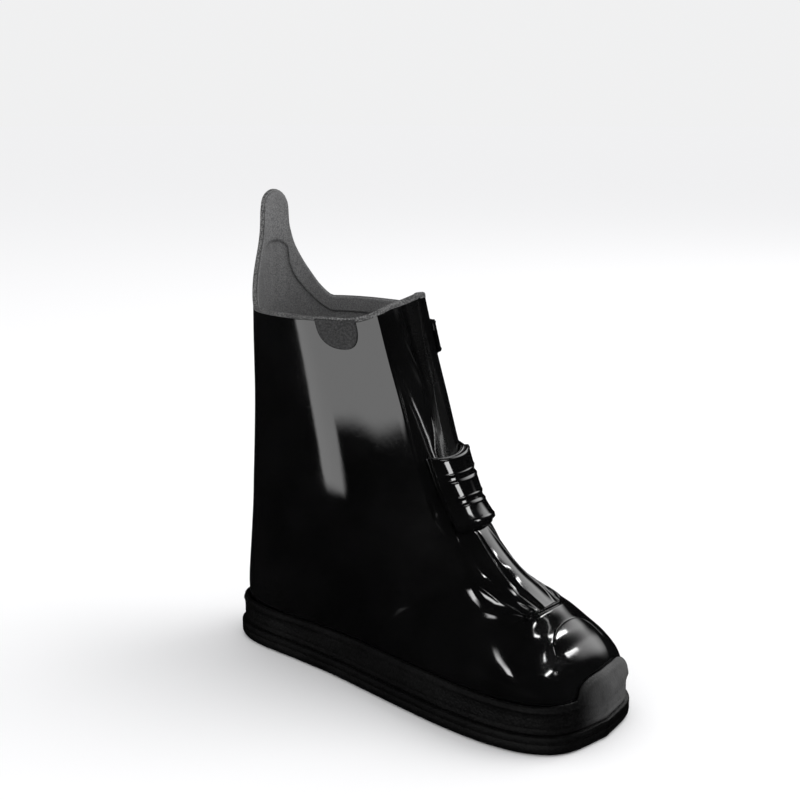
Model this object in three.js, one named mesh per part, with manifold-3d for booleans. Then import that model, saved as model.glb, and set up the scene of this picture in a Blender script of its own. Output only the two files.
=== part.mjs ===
// A pull-on overboot of glossy moulded rubber, the left one of a pair, standing on its sole.
// Millimetres, +Z up, toe towards -Y, the wearer's outer side towards +X.
// The upper is one hollow wall lofted from the rim down the leg, round the heel and out to the toe.
// Everything worn on it, such as straps, gusset and foxing, follows the same lofted form.
import * as THREE from "three";
import { mergeVertices } from "three/addons/utils/BufferGeometryUtils.js";
import Module from "manifold-3d";

const wasm = await Module();
wasm.setup();

// Driving sizes
const footLength = 316; // heel to toe over the upper
const ballWidth = 118;
const heelWidth = 87;
const shaftWidth = 106;
const shaftHeight = 272; // floor to the front of the rim
const instepHeight = 140; // floor to the bend above the vamp
const upperWall = 2.6;
const clearance = 0.35; // between neighbouring pieces

const soleThickness = 13;
const soleWelt = 2.2; // how far the sole stands out past the foxing
const soleBevel = 3.5; // along its lower edge
const treadDepth = 4.5;
const treadGrooveWidth = 7;
const treadRim = 7; // plain edge of the sole around the grooves
const treadPitch = 17;

const foxingThickness = 2.8;
const foxingSeat = 0.95; // glue line between the foxing and the upper
const foxingHeight = 19; // above the sole along the sides
const toeGuardHeight = 31; // above the sole at the tip of the toe
const toeGuardWidth = 48; // where it has dropped to the foxing
const toeGuardTopWidth = 20; // where it starts to drop
const toeGuardShift = 12; // of its middle towards the outer side

const tabHeight = 82; // pull tab above the lowest part of the rim
const tabTipWidth = 27;
const tabRootWidth = 84;
const rimDip = 10; // how far the rim sinks at the sides

const gussetWidth = 50; // folded panel down the front
const gussetWall = 1.6;
const gussetLap = 7; // hidden edge behind the upper
const rimFoldDepth = 9;
const vampPleatDepth = 2.4;
const vampPleatCount = 4;

const facingWall = 1.2;
const facingDepth = 16; // band inside the rim

const strapWall = 2.4;
const strapSlack = 0.7; // air under the straps
const instepStrapWidth = 52;
const instepStrapEndWidth = 58;
const instepStrapHeight = 143; // floor to its middle
const barCount = 3;
const barRise = 3.4;
const barWidth = 15;
const topStrapWidth = 23;
const topStrapEndWidth = 40;
const topStrapDrop = 29; // from the front of the rim to its middle
const topStrapFall = 19; // further fall to its outer end
const buttonStem = 8;
const buttonHead = 14;
const buttonHeadThickness = 3.2;
const buttonReach = 3; // stem length out of the strap
const instepButtonLength = 34;
const topButtonLength = 24;

const patchWidth = 28;
const patchDepth = 26;
const patchWall = 1;

const toeCapWall = 1;

// Sections of the upper from the rim to the tip of the toe. Each runs from a front point to a back point.
// along: share of footLength from the heel. up: 0 is the top of the sole, 1 the instep, 2 the rim.
// wide: share of the width named in of. belly: where it is widest, from the back point.
// front, back: how square the two halves are, 2 being round. shift: share of ballWidth towards the outer side.
const sections = [
  { along: 0.456, up: 2.0, backAlong: 0.045, backUp: 2.0, of: "shaft", wide: 1.0, belly: 0.52, front: 2.6, back: 2.2, shift: 0 },
  { along: 0.492, up: 1.727, backAlong: 0.038, backUp: 1.727, of: "shaft", wide: 0.99, belly: 0.52, front: 2.6, back: 2.2, shift: 0 },
  { along: 0.53, up: 1.485, backAlong: 0.032, backUp: 1.42, of: "shaft", wide: 0.965, belly: 0.51, front: 2.55, back: 2.2, shift: 0 },
  { along: 0.566, up: 1.265, backAlong: 0.022, backUp: 1.136, of: "shaft", wide: 0.93, belly: 0.5, front: 2.45, back: 2.25, shift: 0 },
  { along: 0.603, up: 1.083, backAlong: 0.0125, backUp: 0.858, of: "shaft", wide: 0.89, belly: 0.48, front: 2.35, back: 2.35, shift: 0 },
  { along: 0.642, up: 0.93, backAlong: 0.005, backUp: 0.605, of: "heel", wide: 1.03, belly: 0.46, front: 2.25, back: 2.5, shift: 0 },
  { along: 0.687, up: 0.82, backAlong: 0.0, backUp: 0.384, of: "heel", wide: 1.01, belly: 0.44, front: 2.2, back: 2.8, shift: 0 },
  { along: 0.725, up: 0.735, backAlong: 0.001, backUp: 0.18, of: "heel", wide: 1.0, belly: 0.42, front: 2.15, back: 3.2, shift: 0 },
  { along: 0.753, up: 0.68, backAlong: 0.02, backUp: 0.035, of: "heel", wide: 0.99, belly: 0.4, front: 2.1, back: 3.8, shift: 0 },
  { along: 0.778, up: 0.625, backAlong: 0.13, backUp: 0.0, of: "heel", wide: 1.0, belly: 0.38, front: 2.1, back: 4.6, shift: 0.01 },
  { along: 0.804, up: 0.575, backAlong: 0.28, backUp: 0.0, of: "ball", wide: 0.8, belly: 0.37, front: 2.1, back: 5.0, shift: 0.018 },
  { along: 0.832, up: 0.525, backAlong: 0.43, backUp: 0.0, of: "ball", wide: 0.89, belly: 0.36, front: 2.1, back: 5.0, shift: 0.012 },
  { along: 0.861, up: 0.475, backAlong: 0.57, backUp: 0.0, of: "ball", wide: 0.96, belly: 0.36, front: 2.15, back: 5.0, shift: 0.0 },
  { along: 0.889, up: 0.41, backAlong: 0.69, backUp: 0.0, of: "ball", wide: 1.0, belly: 0.38, front: 2.2, back: 5.0, shift: -0.012 },
  { along: 0.924, up: 0.345, backAlong: 0.81, backUp: 0.0, of: "ball", wide: 0.975, belly: 0.4, front: 2.25, back: 5.0, shift: -0.028 },
  { along: 0.962, up: 0.27, backAlong: 0.908, backUp: 0.0, of: "ball", wide: 0.85, belly: 0.42, front: 2.3, back: 4.5, shift: -0.042 },
  { along: 0.989, up: 0.18, backAlong: 0.973, backUp: 0.01, of: "ball", wide: 0.57, belly: 0.46, front: 2.3, back: 3.5, shift: -0.05 },
  { along: 1.0, up: 0.09, backAlong: 1.0, backUp: 0.09, of: "ball", wide: 0.0, belly: 0.5, front: 2.3, back: 2.3, shift: -0.05 },
];
const widths = { shaft: shaftWidth, heel: heelWidth, ball: ballWidth };
const lastSection = sections.length - 1;

const soleTop = soleThickness + clearance;
const smooth = (low, high, value) => THREE.MathUtils.smoothstep(value, low, high);
const radians = THREE.MathUtils.degToRad;

function heightAt(up) {
  if (up <= 1) return soleTop + up * (instepHeight - soleTop);
  return instepHeight + (up - 1) * (shaftHeight - instepHeight);
}

// Each section's columns as lengths in millimetres, in the order that blended() returns them.
const measured = sections.map((row) => [
  row.along * footLength,
  heightAt(row.up),
  row.backAlong * footLength,
  heightAt(row.backUp),
  (row.wide * widths[row.of]) / 2,
  row.belly,
  row.front,
  row.back,
  row.shift * ballWidth,
]);

// A section anywhere between the rows of the table, along a Catmull-Rom spline through them.
function blended(station) {
  const index = Math.min(Math.floor(station), lastSection - 1);
  const t = station - index;
  return measured[0].map((_, column) => {
    const at = (row) => {
      if (row < 0) return 2 * measured[0][column] - measured[1][column];
      if (row > lastSection) return 2 * measured[lastSection][column] - measured[lastSection - 1][column];
      return measured[row][column];
    };
    const [before, from, to, after] = [at(index - 1), at(index), at(index + 1), at(index + 2)];
    const slope = (to - before) / 2;
    const endSlope = (after - from) / 2;
    return from + t * (slope + t * (3 * (to - from) - 2 * slope - endSlope + t * (2 * (from - to) + slope + endSlope)));
  });
}

// Half outline of the pull tab. up: share of tabHeight. tip: share of half the tip's width.
// flare: share of the further width at the root.
const tabOutline = [
  { up: 1, tip: 0, flare: 0 },
  { up: 0.985, tip: 0.42, flare: 0 },
  { up: 0.93, tip: 0.82, flare: 0 },
  { up: 0.84, tip: 1, flare: 0 },
  { up: 0.66, tip: 1, flare: 0.05 },
  { up: 0.51, tip: 1, flare: 0.17 },
  { up: 0.37, tip: 1, flare: 0.36 },
  { up: 0.22, tip: 1, flare: 0.6 },
  { up: 0.1, tip: 1, flare: 0.79 },
  { up: 0, tip: 1, flare: 1 },
].map(({ up, tip, flare }) => ({
  rise: up * tabHeight,
  half: (tip * tabTipWidth + flare * (tabRootWidth - tabTipWidth)) / 2,
}));

function tabRise(sideways) {
  const k = tabOutline.findIndex(({ half }) => half >= sideways - 1e-6);
  if (k < 0) return 0;
  if (k === 0) return tabOutline[0].rise;
  const [inner, outer] = [tabOutline[k - 1], tabOutline[k]];
  return THREE.MathUtils.mapLinear(sideways, inner.half, outer.half, inner.rise, outer.rise);
}

// Height added to the rim by the angle round the leg: low sides, and the pull tab behind.
function rimLift(angle, sideways) {
  const turn = Math.abs(angle);
  const tab = turn > Math.PI / 2 ? tabRise(Math.abs(sideways)) : 0;
  return tab - rimDip * smooth(0.2, 0.95, turn);
}

const liftEndsAt = 2.4; // station where the rim's shape has died out

// The plain outer form at an angle round the section, 0 in front and positive to the outer side.
function form(angle, station) {
  const [along, up, backAlong, backUp, half, belly, squareFront, squareBack, shift] = blended(station);
  const turned = Math.atan2(Math.sin(angle), Math.cos(angle));
  const c = Math.cos(turned);
  const s = Math.sin(turned);
  const square = (squareFront * (1 + c) + squareBack * (1 - c)) / 2;
  const reach = Math.pow(Math.pow(Math.abs(c), square) + Math.pow(Math.abs(s), square), -1 / square);
  const t = belly + (c > 0 ? 1 - belly : belly) * reach * c;
  const sideways = half * reach * s;
  const fade = 1 - Math.min(station / liftEndsAt, 1);
  const lift = station < liftEndsAt ? rimLift(turned, sideways) * fade * fade : 0;
  return new THREE.Vector3(
    shift + sideways,
    -(backAlong + t * (along - backAlong)),
    backUp + t * (up - backUp) + lift,
  );
}

const probe = 0.02;
function normal(angle, station) {
  if (station >= lastSection) return new THREE.Vector3(0, -1, 0);
  const at = THREE.MathUtils.clamp(station, 0.05, lastSection - 0.05);
  const round = form(angle + probe, at).sub(form(angle - probe, at));
  const down = form(angle, at + probe).sub(form(angle, at - probe));
  return round.cross(down).normalize().negate();
}

const onForm = (angle, station, offset) =>
  form(angle, station).addScaledVector(normal(angle, station), offset);

// The angle, counted from the front or from the back, at which the form is a distance to the side of its middle.
function angleAcross(distance, station, from = 0) {
  const middle = blended(station)[8];
  const sign = Math.sign(distance);
  let [low, high] = [0, Math.PI / 2];
  for (let step = 0; step < 24; step++) {
    const angle = (low + high) / 2;
    if (Math.abs(form(from - angle, station).x - middle) < Math.abs(distance)) low = angle;
    else high = angle;
  }
  return sign * low;
}

// The station at which the front point, or the back point, passes a given height.
function stationAtHeight(height, column, from, to) {
  let [low, high] = [from, to];
  for (let step = 0; step < 30; step++) {
    const station = (low + high) / 2;
    if (blended(station)[column] > height) low = station;
    else high = station;
  }
  return low;
}

// The station at which the form at an angle passes a given height.
function stationAt(angle, height) {
  let [low, high] = [0, 13];
  for (let step = 0; step < 26; step++) {
    const station = (low + high) / 2;
    if (form(angle, station).z > height) low = station;
    else high = station;
  }
  return low;
}

// Millimetres down the front per station.
function mmPerStation(station) {
  const [ahead, here] = [blended(station + 0.5), blended(station - 0.5)];
  return Math.hypot(ahead[0] - here[0], ahead[1] - here[1]);
}

// A closed body from a grid of cells: an outer and an inner layer, with walls round every edge of the kept cells.
function shell(columns, rows, outer, inner, { keep = () => true, round = false, closedEnd = false } = {}) {
  const points = [];
  for (const layer of [outer, inner])
    for (let j = 0; j <= rows; j++) for (let i = 0; i <= columns; i++) points.push(layer(i, j));
  const layerSize = (columns + 1) * (rows + 1);
  const at = (i, j, layer) => layer * layerSize + j * (columns + 1) + (round ? i % columns : i);
  const kept = (i, j) => {
    if (j < 0 || j >= rows) return false;
    if (round) return keep((i + columns) % columns, j);
    return i >= 0 && i < columns && keep(i, j);
  };
  const faces = [];
  const quad = (a, b, c, d) => faces.push(a, b, c, a, c, d);
  for (let j = 0; j < rows; j++)
    for (let i = 0; i < columns; i++) {
      if (!kept(i, j)) continue;
      quad(at(i, j, 0), at(i, j + 1, 0), at(i + 1, j + 1, 0), at(i + 1, j, 0));
      quad(at(i, j, 1), at(i + 1, j, 1), at(i + 1, j + 1, 1), at(i, j + 1, 1));
      if (!kept(i, j - 1)) quad(at(i, j, 0), at(i + 1, j, 0), at(i + 1, j, 1), at(i, j, 1));
      if (!kept(i, j + 1) && !(closedEnd && j === rows - 1))
        quad(at(i + 1, j + 1, 0), at(i, j + 1, 0), at(i, j + 1, 1), at(i + 1, j + 1, 1));
      if (!kept(i - 1, j)) quad(at(i, j + 1, 0), at(i, j, 0), at(i, j, 1), at(i, j + 1, 1));
      if (!kept(i + 1, j)) quad(at(i + 1, j, 0), at(i + 1, j + 1, 0), at(i + 1, j + 1, 1), at(i + 1, j, 1));
    }
  return closedGeometry(points, faces);
}

// Merges what coincides and drops triangles that have no area left.
function closedGeometry(points, faces) {
  const loose = new THREE.BufferGeometry().setFromPoints(points).setIndex(faces);
  const merged = mergeVertices(loose, 2e-3);
  const index = [];
  for (let i = 0; i < merged.index.count; i += 3) {
    const [a, b, c] = [0, 1, 2].map((k) => merged.index.getX(i + k));
    if (a !== b && b !== c && c !== a) index.push(a, b, c);
  }
  return merged.setIndex(index);
}

function solidOf(geometry) {
  const bare = new THREE.BufferGeometry().setAttribute("position", geometry.getAttribute("position"));
  if (geometry.index) bare.setIndex(geometry.index);
  const merged = mergeVertices(bare, 1e-4);
  return new wasm.Manifold(
    new wasm.Mesh({
      numProp: 3,
      vertProperties: merged.attributes.position.array,
      triVerts: new Uint32Array(merged.index.array),
    }),
  );
}

function geometryOf(solid) {
  const mesh = solid.getMesh();
  const positions = new Float32Array(mesh.numVert * 3);
  for (let i = 0; i < mesh.numVert; i++)
    positions.set(mesh.vertProperties.subarray(i * mesh.numProp, i * mesh.numProp + 3), i * 3);
  return new THREE.BufferGeometry()
    .setAttribute("position", new THREE.BufferAttribute(positions, 3))
    .setIndex(new THREE.BufferAttribute(mesh.triVerts, 1));
}

const evenly = (from, to, count) =>
  Array.from({ length: count + 1 }, (_, k) => THREE.MathUtils.lerp(from, to, k / count));

// Where things lie on the form
const vampStart = 0.3294 * lastSection; // station under the lowest bar
const toeSeam = 0.7 * lastSection; // station where the folded panel ends
const capSeam = 0.75 * lastSection; // station where the toe cap starts
const gussetEdge = (station) => angleAcross(gussetWidth / 2, Math.min(station, toeSeam));

// Folds of the front panel, always inwards. At the rim there is one deep valley and a soft hump beside it.
function rimFolds(across, station) {
  const fade = 1 - smooth(0.4, 3.4, station);
  const valley = Math.exp(-Math.pow((across + 0.25) / 0.24, 2));
  const side = 0.45 * Math.exp(-Math.pow((across - 0.7) / 0.2, 2));
  return -rimFoldDepth * fade * (valley + side);
}

function vampPleats(across, station) {
  const along = smooth(vampStart, vampStart + 1.6, station) * (1 - smooth(toeSeam - 2.2, toeSeam, station));
  const wave = 0.5 - 0.5 * Math.cos(across * Math.PI * vampPleatCount);
  return -vampPleatDepth * along * wave;
}

// Columns of the upper: the open front, the sides, and the back, whose columns stand on the tab's outline.
const frontColumns = 4; // half of the open front
const sideColumns = 8;
const backAngles = tabOutline.map(({ half }) => Math.PI - angleAcross(half, 0, Math.PI)).reverse();
const halfColumns = frontColumns + sideColumns + backAngles.length - 1;
const columns = 2 * halfColumns;

function columnAngle(i, station) {
  const turn = i <= halfColumns ? i : columns - i;
  const side = i <= halfColumns ? 1 : -1;
  const gusset = gussetEdge(station);
  if (turn <= frontColumns) return (side * turn * gusset) / frontColumns;
  const passed = turn - frontColumns;
  if (passed >= sideColumns) return side * backAngles[passed - sideColumns];
  return side * THREE.MathUtils.lerp(gusset, backAngles[0], passed / sideColumns);
}

const upperRows = 28;
const facingRows = 2;
const facingEnd = facingDepth / mmPerStation(0.5);
const seamRow = 20;
function rowStation(j) {
  if (j <= facingRows) return (j / facingRows) * facingEnd;
  if (j <= seamRow) return THREE.MathUtils.mapLinear(j, facingRows, seamRow, facingEnd, toeSeam);
  return THREE.MathUtils.mapLinear(j, seamRow, upperRows, toeSeam, lastSection);
}

// The upper, cut open down the front for the folded panel.
function upper() {
  const layer = (offset) => (i, j) => onForm(columnAngle(i, rowStation(j)), rowStation(j), offset);
  const keep = (i, j) => j >= seamRow || (i >= frontColumns && i < columns - frontColumns);
  return shell(columns, upperRows, layer(0), layer(-upperWall), { keep, round: true, closedEnd: true });
}

// A band inside the rim that also lines the pull tab, on the upper's own columns and rows.
function rimFacing() {
  const layer = (offset) => (i, j) => onForm(columnAngle(i, rowStation(j)), rowStation(j), offset);
  const keep = (i) => i > frontColumns && i < columns - frontColumns - 1;
  const outside = -(upperWall + clearance);
  return shell(columns, facingRows, layer(outside), layer(outside - facingWall), { keep, round: true });
}

// The folded panel, in front of the slot and lapped behind the upper at its sides and its toe end.
function frontGusset() {
  const foldColumns = 4 * vampPleatCount;
  const lapColumns = 2;
  const across = foldColumns + 2 * lapColumns;
  const rows = seamRow + 1;
  const lapAngle = (station) => angleAcross(gussetWidth / 2 + gussetLap, station);
  const end = toeSeam + 0.5;
  const layer = (depth) => (i, j) => {
    const station = j <= seamRow ? rowStation(j) : end;
    const fromMiddle = (2 * i - across) / foldColumns;
    const side = THREE.MathUtils.clamp(fromMiddle, -1, 1);
    const beyond = Math.min((Math.abs(fromMiddle - side) * foldColumns) / 2 / lapColumns, 1);
    const edge = gussetEdge(station);
    const angle = side * edge + Math.sign(side) * beyond * (lapAngle(station) - edge);
    const behind = Math.max(smooth(0.78, 1, Math.abs(side)), smooth(toeSeam - 0.9, toeSeam - 0.25, station));
    const lap = -(upperWall + 2.5 * clearance) * behind;
    const folds = (rimFolds(side, station) + vampPleats(side, station)) * (1 - smooth(0.8, 1, Math.abs(side)));
    return onForm(angle, station, lap + folds - depth);
  };
  return shell(across, rows, layer(0), layer(gussetWall));
}

// The horizontal outline of the form from the heel along one side to the toe.
// Below the tip of the toe it stays as it is at the tip, so that what it carries stands upright there.
const tipHeight = measured[lastSection][1];
const heelStation = (level) => stationAtHeight(level, 3, 3, 9);
const toeStation = (level) => (level > tipHeight ? stationAtHeight(level, 1, 8, lastSection) : lastSection);

function outlinePoint(height, share, side, offset) {
  const level = Math.max(height, tipHeight);
  const station = THREE.MathUtils.lerp(heelStation(level), toeStation(level), share);
  let [low, high] = [0, Math.PI];
  for (let step = 0; step < 30; step++) {
    const angle = (low + high) / 2;
    if (form(side * angle, station).z > level) low = angle;
    else high = angle;
  }
  const angle = share === 0 ? Math.PI : share === 1 ? 0 : side * low;
  const point = form(angle, station);
  if (height > tipHeight) return point.addScaledVector(normal(angle, station), offset);
  const atEnd = share === 0 || share === 1;
  const out = atEnd ? new THREE.Vector3(0, 1 - 2 * share, 0) : normal(angle, station).setZ(0).normalize();
  return point.addScaledVector(out, offset).setZ(height);
}

const perimeter = 60;
function aroundFoot(k) {
  const turn = (2 * (k % perimeter)) / perimeter;
  const [share, side] = turn <= 1 ? [turn, -1] : [2 - turn, 1];
  return [0.5 - 0.5 * Math.cos(share * Math.PI), side];
}

// Height of the foxing over the sole, swept up into a guard over the tip of the toe.
function foxingTop(share, side) {
  const point = outlinePoint(tipHeight, share, side, 0);
  const onToe = smooth(0.85, 0.93, -point.y / footLength);
  const sideways = Math.abs(point.x - toeGuardShift);
  const rise = onToe * (1 - smooth(toeGuardTopWidth / 2, toeGuardWidth / 2, sideways));
  return foxingHeight + (toeGuardHeight - foxingHeight) * rise;
}

function foxing() {
  const base = soleThickness + clearance;
  const levels = 5;
  const layer = (offset) => (i, j) => {
    const top = soleThickness + foxingTop(...aroundFoot(i));
    const height = j > levels ? base : THREE.MathUtils.lerp(top, tipHeight, j / levels);
    return outlinePoint(height, ...aroundFoot(i), offset);
  };
  const [outside, inside] = [layer(foxingSeat + foxingThickness), layer(foxingSeat)];
  return shell(perimeter, levels + 1, outside, inside, { round: true });
}

// The sole, grooved across underneath except under the arch.
function outsole() {
  const reach = foxingSeat + foxingThickness + soleWelt;
  const ring = (height, inset) =>
    evenly(0, perimeter - 1, perimeter - 1).map((k) =>
      outlinePoint(tipHeight, ...aroundFoot(k), reach - inset).setZ(height),
    );
  const stack = (rings) => {
    const top = rings.length - 1;
    const faces = [];
    for (let level = 0; level < top; level++)
      for (let k = 0; k < perimeter; k++) {
        const [a, b] = [level * perimeter + k, level * perimeter + ((k + 1) % perimeter)];
        faces.push(a, b, a + perimeter, b, b + perimeter, a + perimeter);
      }
    for (const [a, b, c] of THREE.ShapeUtils.triangulateShape(rings[top], []))
      faces.push(c, b, a, a + top * perimeter, b + top * perimeter, c + top * perimeter);
    return solidOf(closedGeometry(rings.flat(), faces));
  };
  let solid = stack([ring(0, soleBevel), ring(soleBevel, 0), ring(soleThickness, 0)]);
  const grooved = stack([ring(-treadDepth, treadRim), ring(treadDepth, treadRim)]);
  const archStart = 0.3 * footLength;
  const archEnd = 0.42 * footLength;
  for (let along = treadPitch; along < footLength - treadPitch; along += treadPitch) {
    if (along > archStart && along < archEnd) continue;
    const groove = new THREE.BoxGeometry(2 * ballWidth, treadGrooveWidth, 4 * treadDepth);
    groove.translate(0, -along, 0);
    solid = solid.subtract(solidOf(groove).intersect(grooved));
  }
  return geometryOf(solid);
}

// A layer laid on the form. place() gives its angle, station and extra height at shares along and across it.
function band(lengths, crosses, gap, thickness, place) {
  const layer = (outside) => (i, j) => {
    const [angle, station, extra] = place(lengths[i], crosses[j]);
    return onForm(angle, station, outside ? gap + thickness + extra : gap);
  };
  return shell(lengths.length - 1, crosses.length - 1, layer(true), layer(false));
}

// How much of its width a strap keeps towards its round end, which starts at a share of its length.
const roundEnd = (share, start) => Math.sqrt(1 - Math.pow(Math.max(0, (share - start) / (1 - start)), 2));

// The station of a point across a strap whose middle runs at a height. The strap leans with the form.
function strapStation(angle, height, across) {
  const middle = stationAt(angle, height);
  const lean = Math.sqrt(1 - normal(angle, middle).z ** 2);
  return across === 0 ? middle : stationAt(angle, height - across * lean);
}

// The instep strap, with raised bars across the front and a round end on the outer side.
const strapInner = radians(-23);
const strapOuter = radians(112);
const barsOuter = radians(30);
const instepButtonAngle = radians(96);

function instepStrap() {
  const barShare = (barsOuter - strapInner) / (strapOuter - strapInner);
  const endShare = 0.78;
  const lengths = [0, 0.012, 0.03, ...evenly(0.03, barShare - 0.03, 7).slice(1), barShare - 0.012, barShare];
  lengths.push(...evenly(barShare, endShare, 6).slice(1), 0.84, 0.9, 0.945, 0.975, 0.993, 1);
  const pitch = 1 / barCount;
  const land = (pitch - barWidth / instepStrapWidth) / 2;
  const crosses = [0];
  for (const start of evenly(0, 1 - pitch, barCount - 1))
    for (const edge of [0.4 * land, 1.6 * land, pitch - 1.6 * land, pitch - 0.4 * land]) crosses.push(start + edge);
  crosses.push(1);
  return band(lengths, crosses, strapSlack, strapWall, (share, cross) => {
    const angle = THREE.MathUtils.lerp(strapInner, strapOuter, share);
    const width = THREE.MathUtils.lerp(instepStrapWidth, instepStrapEndWidth, smooth(0.5, endShare, share));
    const across = (cross - 0.5) * width * roundEnd(share, endShare);
    const inPitch = (cross / pitch) % 1;
    const raised = inPitch * pitch > 0.9 * land && (1 - inPitch) * pitch > 0.9 * land;
    const onBars = share > 0.02 && share < barShare - 0.02;
    return [angle, strapStation(angle, instepStrapHeight, across), raised && onBars ? barRise : 0];
  });
}

// The top strap falls a little towards its large round end.
const topStrapInner = radians(30);
const topStrapOuter = radians(100);
const topButtonAngle = radians(84);
function topStrapHeight(angle) {
  const share = (angle - topStrapInner) / (topStrapOuter - topStrapInner);
  return shaftHeight - topStrapDrop - topStrapFall * smooth(0, 1, share);
}

function topStrap() {
  const lengths = [...evenly(0, 0.7, 8), 0.78, 0.86, 0.92, 0.965, 0.99, 1];
  return band(lengths, evenly(0, 1, 6), strapSlack, strapWall, (share, cross) => {
    const angle = THREE.MathUtils.lerp(topStrapInner, topStrapOuter, share);
    const width = THREE.MathUtils.lerp(topStrapWidth, topStrapEndWidth, smooth(0.15, 0.65, share));
    const across = (cross - 0.5) * width * roundEnd(share, 0.68);
    return [angle, strapStation(angle, topStrapHeight(angle), across), 0];
  });
}

// A moulded button: a stem under a long upright head, standing on the strap along the form's normal.
function button(angle, height, length) {
  const top = buttonReach + buttonHeadThickness;
  const edge = 0.3 * buttonHeadThickness;
  const profile = [
    [0, 0],
    [buttonStem / 2, 0],
    [buttonStem / 2, buttonReach],
    [buttonHead / 2 - edge, buttonReach],
    [buttonHead / 2, buttonReach + edge],
    [buttonHead / 2, top - edge],
    [buttonHead / 2 - edge, top],
    [0, top],
  ].map(([radius, up]) => new THREE.Vector2(radius, up));
  const geometry = new THREE.LatheGeometry(profile, 16);
  geometry.scale(1, 1, length / buttonHead);
  const station = stationAt(angle, height);
  const out = normal(angle, station);
  const down = form(angle, station + probe).sub(form(angle, station - probe)).normalize();
  const seat = onForm(angle, station, strapSlack + strapWall + clearance);
  const turn = new THREE.Matrix4().makeBasis(new THREE.Vector3().crossVectors(out, down), out, down);
  geometry.applyMatrix4(turn.setPosition(seat));
  return geometry;
}

// A U-shaped grip patch hanging from the rim.
function rimPatch(middleAngle) {
  const middle = form(middleAngle, 0.5);
  const reach = Math.hypot(middle.x, middle.y - form(Math.PI / 2, 0.5).y);
  const shares = [0, 0.2, 0.4, 0.6, 0.75, 0.87, 0.95, 0.99, 1];
  return band(evenly(0, 1, 6), shares, clearance, patchWall, (cross, share) => {
    const kept = Math.pow(1 - Math.pow(share, 3), 1 / 2.2);
    const angle = middleAngle + ((cross - 0.5) * kept * patchWidth) / reach;
    return [angle, 0.06 + (share * patchDepth) / mmPerStation(0.5), 0];
  });
}

// The overlay on the toe, from its curved seam forward to the toe guard.
const capReach = radians(58);
const capMiddle = radians(7);
const capSweep = 1.1; // stations by which the seam runs forward at its sides
function toeCap() {
  const columnsAcross = 16;
  const rows = 5;
  const aboveGuard = (angle, station) => {
    const height = form(angle, station).z;
    const heel = heelStation(height);
    const share = Math.min((station - heel) / (toeStation(height) - heel), 1);
    return height > soleThickness + foxingTop(share, Math.sign(angle)) + 0.6 * foxingThickness;
  };
  const endStation = (angle) => {
    let [low, high] = [capSeam, lastSection];
    for (let step = 0; step < 24; step++) {
      const station = (low + high) / 2;
      if (aboveGuard(angle, station)) low = station;
      else high = station;
    }
    return low;
  };
  const layer = (offset) => (i, j) => {
    const share = (2 * i) / columnsAcross - 1;
    const angle = share * capReach;
    const start = capSeam + capSweep * ((angle - capMiddle) / capReach) ** 2;
    return onForm(angle, THREE.MathUtils.lerp(start, endStation(angle), j / rows), offset);
  };
  return shell(columnsAcross, rows, layer(clearance + toeCapWall), layer(clearance));
}

const rubber = { color: 0x0b0b0c, roughness: 0.12, metalness: 0 };
const grained = { color: 0x2c2c2d, roughness: 0.6, metalness: 0 };
const lining = { color: 0x3a3a3b, roughness: 0.8, metalness: 0 };

const boot = new THREE.Group();
function add(name, geometry, finish) {
  const mesh = new THREE.Mesh(geometry, new THREE.MeshStandardMaterial(finish));
  mesh.name = name;
  boot.add(mesh);
  return mesh;
}

add("upper", upper(), rubber);
add("front_gusset", frontGusset(), rubber);
add("rim_facing", rimFacing(), lining);
add("foxing_toe_guard", foxing(), grained);
add("outsole", outsole(), grained);
add("instep_strap", instepStrap(), rubber);
add("top_strap", topStrap(), rubber);
add("instep_button", button(instepButtonAngle, instepStrapHeight, instepButtonLength), rubber);
add("top_button", button(topButtonAngle, topStrapHeight(topButtonAngle), topButtonLength), rubber);
add("grip_patch_inner", rimPatch(radians(-58)), grained);
add("grip_patch_outer", rimPatch(radians(116)), grained);
add("toe_cap", toeCap(), rubber);

// The origin is under the middle of the boot.
const box = new THREE.Box3().setFromObject(boot);
boot.position.set(-(box.min.x + box.max.x) / 2, -(box.min.y + box.max.y) / 2, -box.min.z);

export default boot;
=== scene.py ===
import bpy
import math
import numpy as np
from mathutils import Matrix, Vector


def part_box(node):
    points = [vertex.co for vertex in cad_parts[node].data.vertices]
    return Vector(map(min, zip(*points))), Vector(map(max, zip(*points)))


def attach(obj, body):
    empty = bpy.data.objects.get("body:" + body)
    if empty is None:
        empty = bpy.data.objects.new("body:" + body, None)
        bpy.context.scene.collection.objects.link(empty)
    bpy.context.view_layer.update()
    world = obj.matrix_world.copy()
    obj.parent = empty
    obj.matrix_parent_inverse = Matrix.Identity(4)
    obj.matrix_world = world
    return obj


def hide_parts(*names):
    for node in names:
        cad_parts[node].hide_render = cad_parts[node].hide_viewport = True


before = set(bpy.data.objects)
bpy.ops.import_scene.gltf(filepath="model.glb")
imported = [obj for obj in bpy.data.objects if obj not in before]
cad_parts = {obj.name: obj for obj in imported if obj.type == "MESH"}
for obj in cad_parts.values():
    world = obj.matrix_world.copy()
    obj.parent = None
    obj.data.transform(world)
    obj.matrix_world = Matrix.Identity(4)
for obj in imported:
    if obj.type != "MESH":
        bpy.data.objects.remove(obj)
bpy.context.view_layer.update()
print("frame loaded")

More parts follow.
